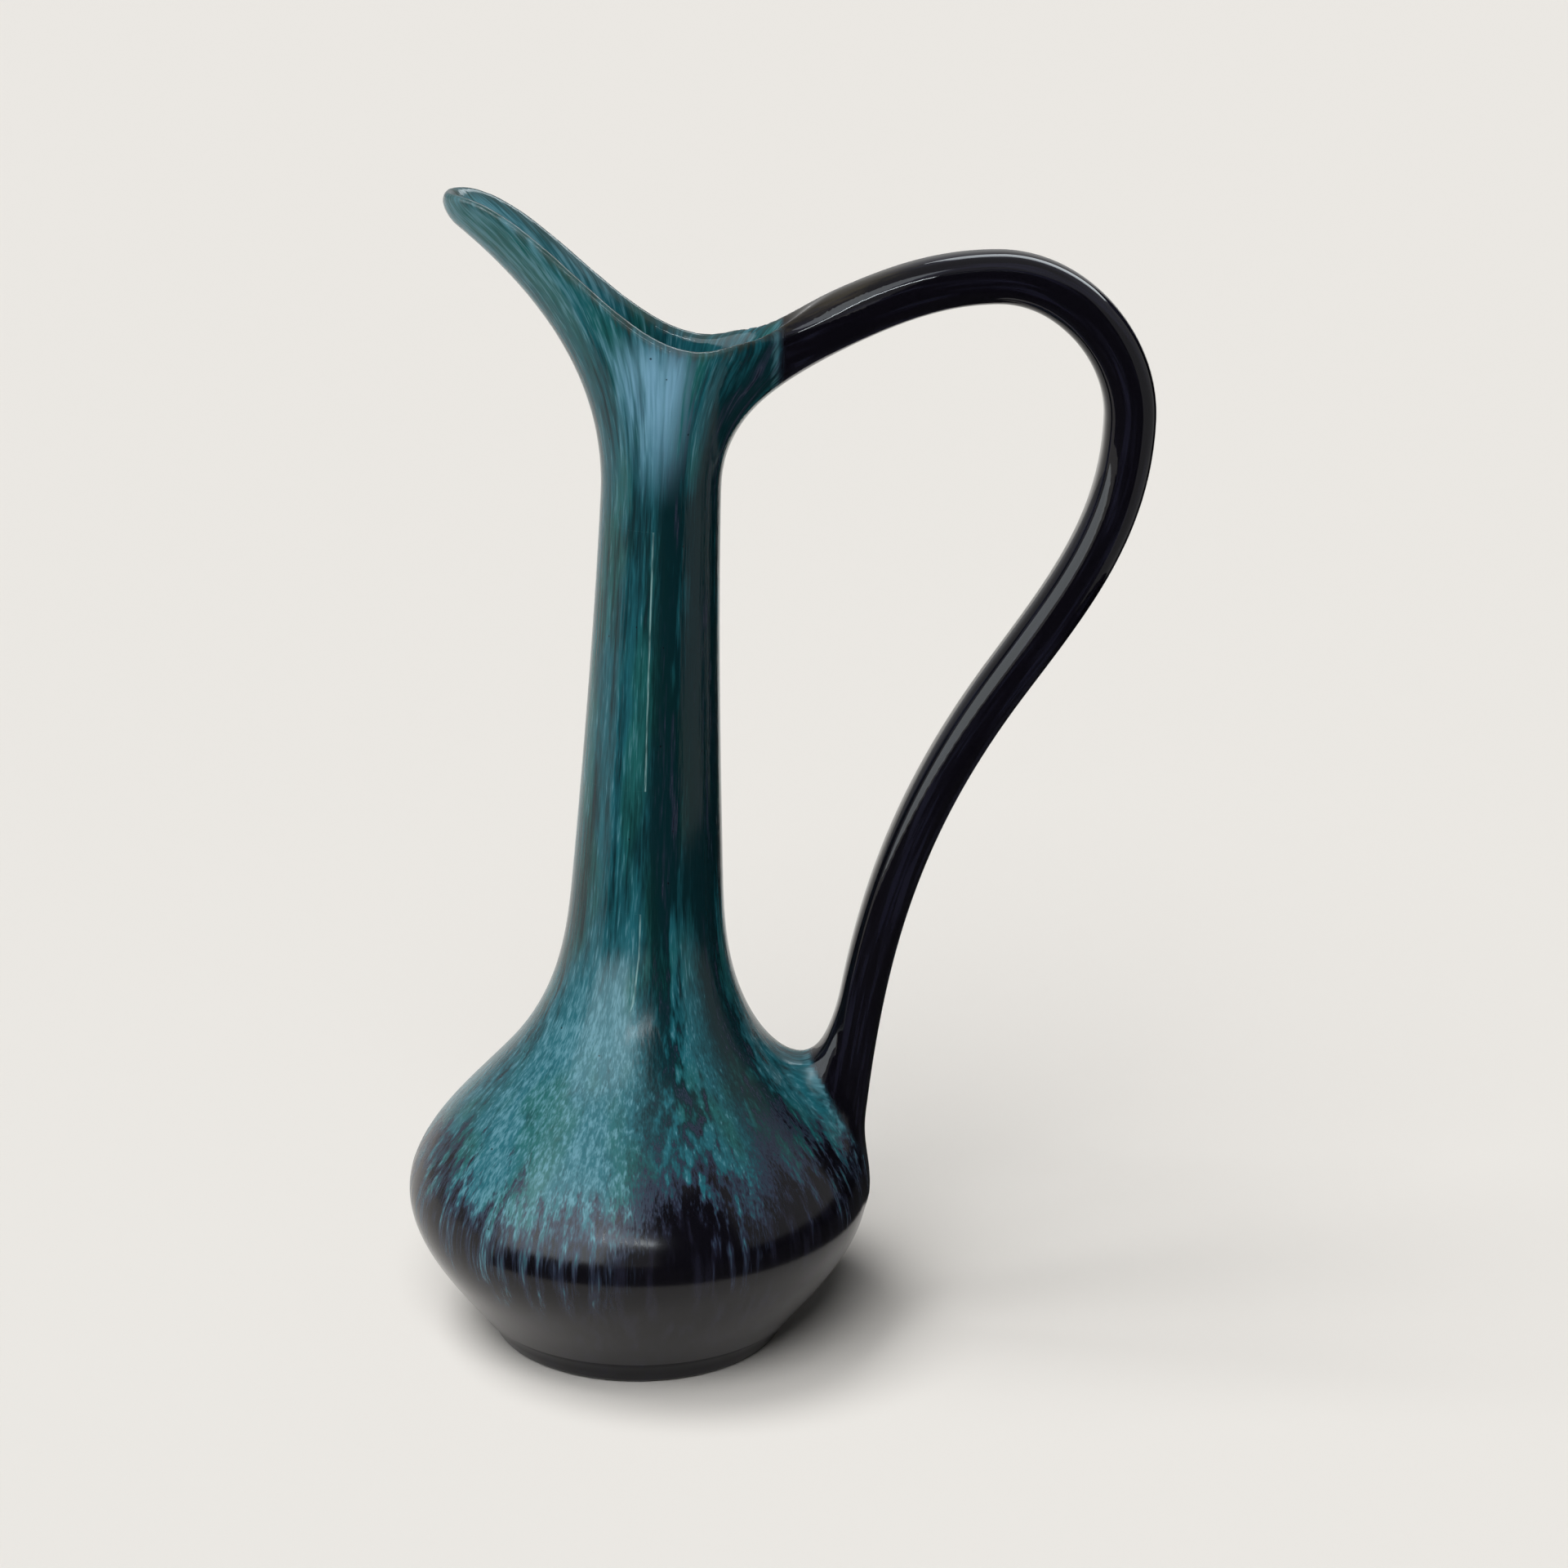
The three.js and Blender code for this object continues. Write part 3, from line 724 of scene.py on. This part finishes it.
# Painted dark reflections: two windows round the axis, at the front and towards the handle, where the teal is
# made thin and dark
FRONT_PAINTED_DARK_REFLECTION_TURN = (-95, -82, -74, -62)
SIDE_PAINTED_DARK_REFLECTION_TURN = (-56, -42, -30, -14)
BLOOM_TURN, BLOOM_HEIGHT = (-126, -100, -82, -62), (238, 271, 274, 288)
# Painted shade: the handle's side of the neck is darkened between these angles and heights
PAINTED_NECK_SHADE_TURN, PAINTED_NECK_SHADE_HEIGHT = (-85, -72, -22, -4), (112, 150, 232, 258)
# Heights between which the band and its painted reflection thin out, the lip thickens, the teal runs out, it
# and its veil end, the teal turns satin and the night glaze turns wet
BAND_AND_REFLECTION_FADE, LIP_GAIN = (90, 150), (275, 305)
RUN_OUT, TEAL_FOOT, VEIL_FOOT = (36, 88), (22, 42), (24, 44)
SATIN_FADE, WET_FADE = (80, 140), (60, 85)
# Distances in millimetres at which a mark begins and is full: from a painted highlight line, a pinhole and
# the rim
HIGHLIGHT_LINE_EDGE = (0.34, 0.08)
PINHOLE_CELL, PINHOLE_EDGE = 6.5, (0.055, 0.03)  # the pinhole's edge is in cells
RIM_EDGE = (3.0, 0.4)


def glaze_material():
    """Night glaze all over, with teal glaze that ran down over it from the rim, and painted reflections,
    painted shade and painted highlight lines on it.
    """
    material = bpy.data.materials.new("drip_glaze")
    material.use_nodes = True
    g = Graph(material.node_tree)
    flow = g.attribute("flow", "Vector")
    teal_edge, height = g.attribute("teal_side"), g.attribute("height")
    below_rim, turn = g.attribute("below_rim"), g.attribute("turn")

    clouds = g.streaks(flow, 11, 4, 2)
    greens = g.streaks(flow, 13, 3, 2, 31)
    bands = g.streaks(flow, 1.8, 20, 2, 7)
    dashes = g.streaks(flow, 0.85, 9, 2, 17)
    hairs = g.streaks(flow, 0.36, 22, 1, 53)
    wavy_turn = g.plus(turn, g.total((bands, 34.0), (clouds, 30.0)))

    # Where the teal glaze went on thick: a broad band down the front, whose pale left side also paints the
    # window's reflection on the bulb, a bloom under the mouth and the lip
    # Painted dark reflections: the teal is thinned and darkened in two windows round the axis, at the front
    # and towards the handle
    painted_dark_reflections = g.plus(g.window(wavy_turn, *FRONT_PAINTED_DARK_REFLECTION_TURN), g.window(wavy_turn, *SIDE_PAINTED_DARK_REFLECTION_TURN))
    bloom = g.times(g.window(wavy_turn, *BLOOM_TURN), g.window(height, *BLOOM_HEIGHT))
    band_and_painted_reflection = g.times(g.window(wavy_turn, *BAND_AND_REFLECTION_TURN), g.rise(height, *BAND_AND_REFLECTION_FADE, 0.17, -0.05))
    thick = g.plus(band_and_painted_reflection, g.times(bloom, 0.3))
    thick = g.math("SUBTRACT", thick, g.times(painted_dark_reflections, 0.32))
    thick = g.plus(thick, g.rise(height, *LIP_GAIN, 0, 0.3))

    # Its tone in each streak, with painted shade on the handle's side of the neck, and how it covers the
    # night glaze
    painted_neck_shade = g.times(g.window(wavy_turn, *PAINTED_NECK_SHADE_TURN), g.window(height, *PAINTED_NECK_SHADE_HEIGHT))
    deep = g.math("SUBTRACT", thick, g.times(painted_neck_shade, 0.34))
    tone = g.plus(deep, g.total((clouds, 0.9), (bands, 0.8), (dashes, 0.3), (hairs, 0.35)))
    ragged = g.plus(g.rise(height, *RUN_OUT), thick)
    ragged = g.plus(ragged, g.total((clouds, 0.7), (bands, 1.3), (hairs, 0.7)))
    edge = g.rise(g.plus(teal_edge, g.total((dashes, 3.0))), -1.3, 1.0)
    cover = g.times(g.rise(ragged, 0.3, 0.66), g.times(edge, g.rise(height, *TEAL_FOOT)))
    veil = g.times(g.rise(ragged, 0.06, 0.42), g.times(edge, g.rise(height, *VEIL_FOOT)))

    # The teal glaze's colours
    depth = g.rise(tone, -0.34, 0.2)
    teal = g.mix(depth, PETROL, TEAL)
    teal = g.mix(g.rise(greens, 0.46, 0.66, 0, 0.55), teal, g.mix(depth, GREEN_DARK, GREEN))
    light = g.plus(g.times(deep, 0.8), g.total((clouds, 0.5), (dashes, 0.9), (hairs, 0.5), (bands, 0.4)))
    teal = g.mix(g.rise(light, 0.04, 0.42, 0, 0.8), teal, PALE)
    teal = g.mix(g.times(bloom, g.rise(bands, 0.3, 0.65, 0.4, 0.95)), teal, BLOOM)
    fringe = g.times(g.window(teal_edge, -0.5, 0.6, 1.2, 2.6), g.rise(dashes, 0.4, 0.6, 0, 0.3))
    teal = g.mix(fringe, teal, PALE)

    # Both glazes, and on them the painted highlight lines, the pinholes and the brown rim
    night = g.mix(g.rise(bands, 0.45, 0.7), NIGHT, NIGHT_BLUE)
    night = g.mix(g.times(veil, 0.4), night, DRIP_BLUE)
    base = g.mix(cover, night, teal)
    # Painted highlight lines: pale streaks down the neck's front where a narrow light's reflection falls
    off_highlight_line = g.math("ABSOLUTE", g.attribute("run"))
    run = g.rise(off_highlight_line, *HIGHLIGHT_LINE_EDGE, 0, g.rise(dashes, 0.35, 0.6, 0.15, 0.65))
    base = g.mix(run, base, HIGHLIGHT_LINE_PALE)
    cells = g.add("ShaderNodeVectorMath", {0: flow, 3: 1 / PINHOLE_CELL}, operation="SCALE").outputs[0]
    pinholes = g.add("ShaderNodeTexVoronoi", {"Vector": cells, "Scale": 1.0}).outputs["Distance"]
    base = g.mix(g.rise(pinholes, *PINHOLE_EDGE, 0, 0.8), base, NIGHT)
    thin = g.plus(below_rim, g.total((dashes, 5.0)))
    base = g.mix(g.rise(thin, *RIM_EDGE, 0, 0.45), base, BROWN)

    satin = g.rise(height, *SATIN_FADE, 0.24, 0.1)
    wet = g.rise(veil, 0, 1, g.rise(height, *WET_FADE, 0.17, 0.04), 0.3)
    relief = g.times(g.total((bands, 1.0), (dashes, 0.5)), cover)
    bump = g.add("ShaderNodeBump", {"Height": relief, "Strength": 0.25, "Distance": 0.0004})
    shader = g.add("ShaderNodeBsdfPrincipled", {
        "Base Color": base,
        "Roughness": g.mix_numbers(cover, wet, satin),
        "IOR": 1.5,
        "Specular IOR Level": 0.32,
        "Normal": bump.outputs[0],
    })
    g.add("ShaderNodeOutputMaterial", {"Surface": shader.outputs[0]})
    return material


HIDDEN_SLIP = {"lower_bowl": "belly_slip", "neck": "neck_slip", "pouring_lip": "lip_slip"}

glaze = glaze_material()
for name, piece in clay_pieces(glaze).items():
    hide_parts(name)
    if name in HIDDEN_SLIP:
        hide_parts(HIDDEN_SLIP[name])

# Side of the foot from its rounded standing edge up, and the slip on it: inset from the foot's radius, height
FOOT_SIDE = [
    (5.2, 0.0), (4.5, 0.15), (3.8, 0.5), (3.3, 1.2), (2.2, 3.5), (1.1, 5.6), (0.3, 6.8), (0.2, foot_h),
]
SLIP_SIDE = [(0.8, foot_h), (0.1, foot_h + 0.05), (-0.3, foot_h + 0.35), (-0.5, bowl_z)]
foot = turned_piece("foot", [(foot_r - inset, z) for inset, z in FOOT_SIDE], glaze)
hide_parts("foot")
slip = turned_piece("foot_slip", [(foot_r - inset, z) for inset, z in SLIP_SIDE], glaze)
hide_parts("foot_slip")


# Camera

CAMERA = Vector((0.03924, -0.850, 0.420))
PITCH, ROLL = math.radians(16.98), math.radians(0.90)
LENS, SENSOR = 74.85, 36
camera_data = bpy.data.cameras.new("camera")
camera_data.lens = LENS
camera_data.sensor_width = SENSOR
camera = bpy.data.objects.new("camera", camera_data)
forward = Vector((0, math.cos(PITCH), -math.sin(PITCH)))
right = forward.cross(Vector((0, 0, 1))).normalized()
up = right.cross(forward)
side = right * math.cos(ROLL) + up * math.sin(ROLL)
head = up * math.cos(ROLL) - right * math.sin(ROLL)
camera.matrix_world = Matrix.Translation(CAMERA) @ Matrix((side, head, -forward)).transposed().to_4x4()
bpy.context.scene.collection.objects.link(camera)
bpy.context.scene.camera = camera


# Stage, in metres

COOL_WHITE = (0.88, 0.96, 1.0)
ARC_STEP = 5  # degrees


def staged(name, points, faces, shader_node, inputs):
    """A sheet of the stage, with a material of one shader node."""
    mesh = bpy.data.meshes.new(name)
    mesh.from_pydata(points, [], faces)
    material = bpy.data.materials.new(name)
    material.use_nodes = True
    g = Graph(material.node_tree)
    shader = g.add(shader_node, inputs)
    g.add("ShaderNodeOutputMaterial", {"Surface": shader.outputs[0]})
    mesh.materials.append(material)
    sheet = bpy.data.objects.new(name, mesh)
    bpy.context.scene.collection.objects.link(sheet)
    return sheet


def area_lamp(name, start, end, width, target, radiance):
    """Bright panel of a width between two points, facing the target. Only reflections show it."""
    start, end = Vector(start), Vector(end)
    middle = (start + end) / 2
    back = (middle - Vector(target)).normalized()
    along = (end - start - (end - start).dot(back) * back).normalized()
    data = bpy.data.lights.new(name, "AREA")
    data.shape = "RECTANGLE"
    data.size = (end - start).length
    data.size_y = width
    data.energy = radiance * math.pi * data.size * width
    data.color = COOL_WHITE
    lamp = bpy.data.objects.new(name, data)
    axes = Matrix((along, back.cross(along), back)).transposed().to_4x4()
    lamp.matrix_world = Matrix.Translation(middle) @ axes
    lamp.visible_diffuse = False
    bpy.context.scene.collection.objects.link(lamp)


def sun_lamp(name, direction, angle, energy):
    """Soft sun that reflections don't show. Its angle is that of its disc, in degrees."""
    data = bpy.data.lights.new(name, "SUN")
    data.angle = math.radians(angle)
    data.energy = energy
    lamp = bpy.data.objects.new(name, data)
    lamp.rotation_euler = Vector(direction).to_track_quat("-Z", "Y").to_euler()
    lamp.visible_glossy = False
    bpy.context.scene.collection.objects.link(lamp)


def arc(radius, first, last, z):
    """Points round the axis at one height, between two angles in degrees."""
    turns = [math.radians(a) for a in range(first, last + 1, ARC_STEP)]
    return [(radius * math.cos(a), radius * math.sin(a), z) for a in turns]


def card(name, low, high, strength):
    """A sheet between two arcs that only reflections show, black or glowing faintly."""
    steps = len(low)
    faces = [(i, i + 1, steps + i + 1, steps + i) for i in range(steps - 1)]
    glow = {"Color": (1, 1, 1, 1), "Strength": strength}
    sheet = staged(name, low + high, faces, "ShaderNodeEmission", glow)
    sheet.visible_camera = False
    sheet.visible_diffuse = False
    sheet.visible_shadow = False


TABLE_HALF, TABLE_COLOUR = 20, colour(235, 232, 227)
table = [(x * TABLE_HALF, y * TABLE_HALF, 0) for x, y in ((-1, -1), (1, -1), (1, 1), (-1, 1))]
staged("floor", table, [(0, 1, 2, 3)], "ShaderNodeBsdfDiffuse", {"Color": TABLE_COLOUR})

area_lamp("window", start=(-1.95, -0.67, 0.95), end=(-0.35, -2.03, 0.95), width=1.9,
          target=(0, 0, 0.12), radiance=3.0)
area_lamp("front_strip", start=(-0.4, -1.22, 0.74), end=(0.28, -1.24, 0.6), width=0.03,
          target=(0.08, 0, 0.29), radiance=40)
area_lamp("back_strip", start=(1.1, 0.86, 0.95), end=(-0.15, 0.81, 1.58), width=0.5,
          target=(0, 0, 0.28), radiance=5)
sun_lamp("key", direction=(0.377, 0.101, -0.92), angle=30, energy=1.53)
sun_lamp("fill", direction=(0.166, 0.621, -0.766), angle=40, energy=2.09)

# Cards keep the room dark in the glaze's reflections: over the table from near the foot outwards, and round
# the handle's side, with a dim grey panel in the middle of it
TABLE_NEAR, TABLE_FAR, TABLE_LIFT = 0.118, 1.8, 0.0005
SIDE_RADIUS, SIDE_BOTTOM, SIDE_TOP = 0.34, 0.001, 0.42
PANEL_RADIUS, PANEL_BOTTOM = 0.335, 0.07
card("table_card", arc(TABLE_NEAR, -150, 60, TABLE_LIFT), arc(TABLE_FAR, -150, 60, TABLE_LIFT), 0.03)
card("side_card", arc(SIDE_RADIUS, -80, 45, SIDE_BOTTOM), arc(SIDE_RADIUS, -80, 45, SIDE_TOP), 0)
card("grey_panel", arc(PANEL_RADIUS, -40, 20, PANEL_BOTTOM), arc(PANEL_RADIUS, -40, 20, SIDE_TOP), 0.45)

# The room is far brighter in the glaze's reflections than as light
ROOM_LIGHT, ROOM_GLOSS = 0.04, 0.42
world = bpy.data.worlds.new("world")
bpy.context.scene.world = world
world.use_nodes = True
sky = Graph(world.node_tree)
glossy = sky.add("ShaderNodeLightPath", {}).outputs["Is Glossy Ray"]
room = sky.rise(glossy, 0, 1, ROOM_LIGHT, ROOM_GLOSS)
shader = sky.add("ShaderNodeBackground", {"Color": (1, 1, 1, 1), "Strength": room})
sky.add("ShaderNodeOutputWorld", {"Surface": shader.outputs[0]})
bpy.context.scene.view_settings.view_transform = "Standard"
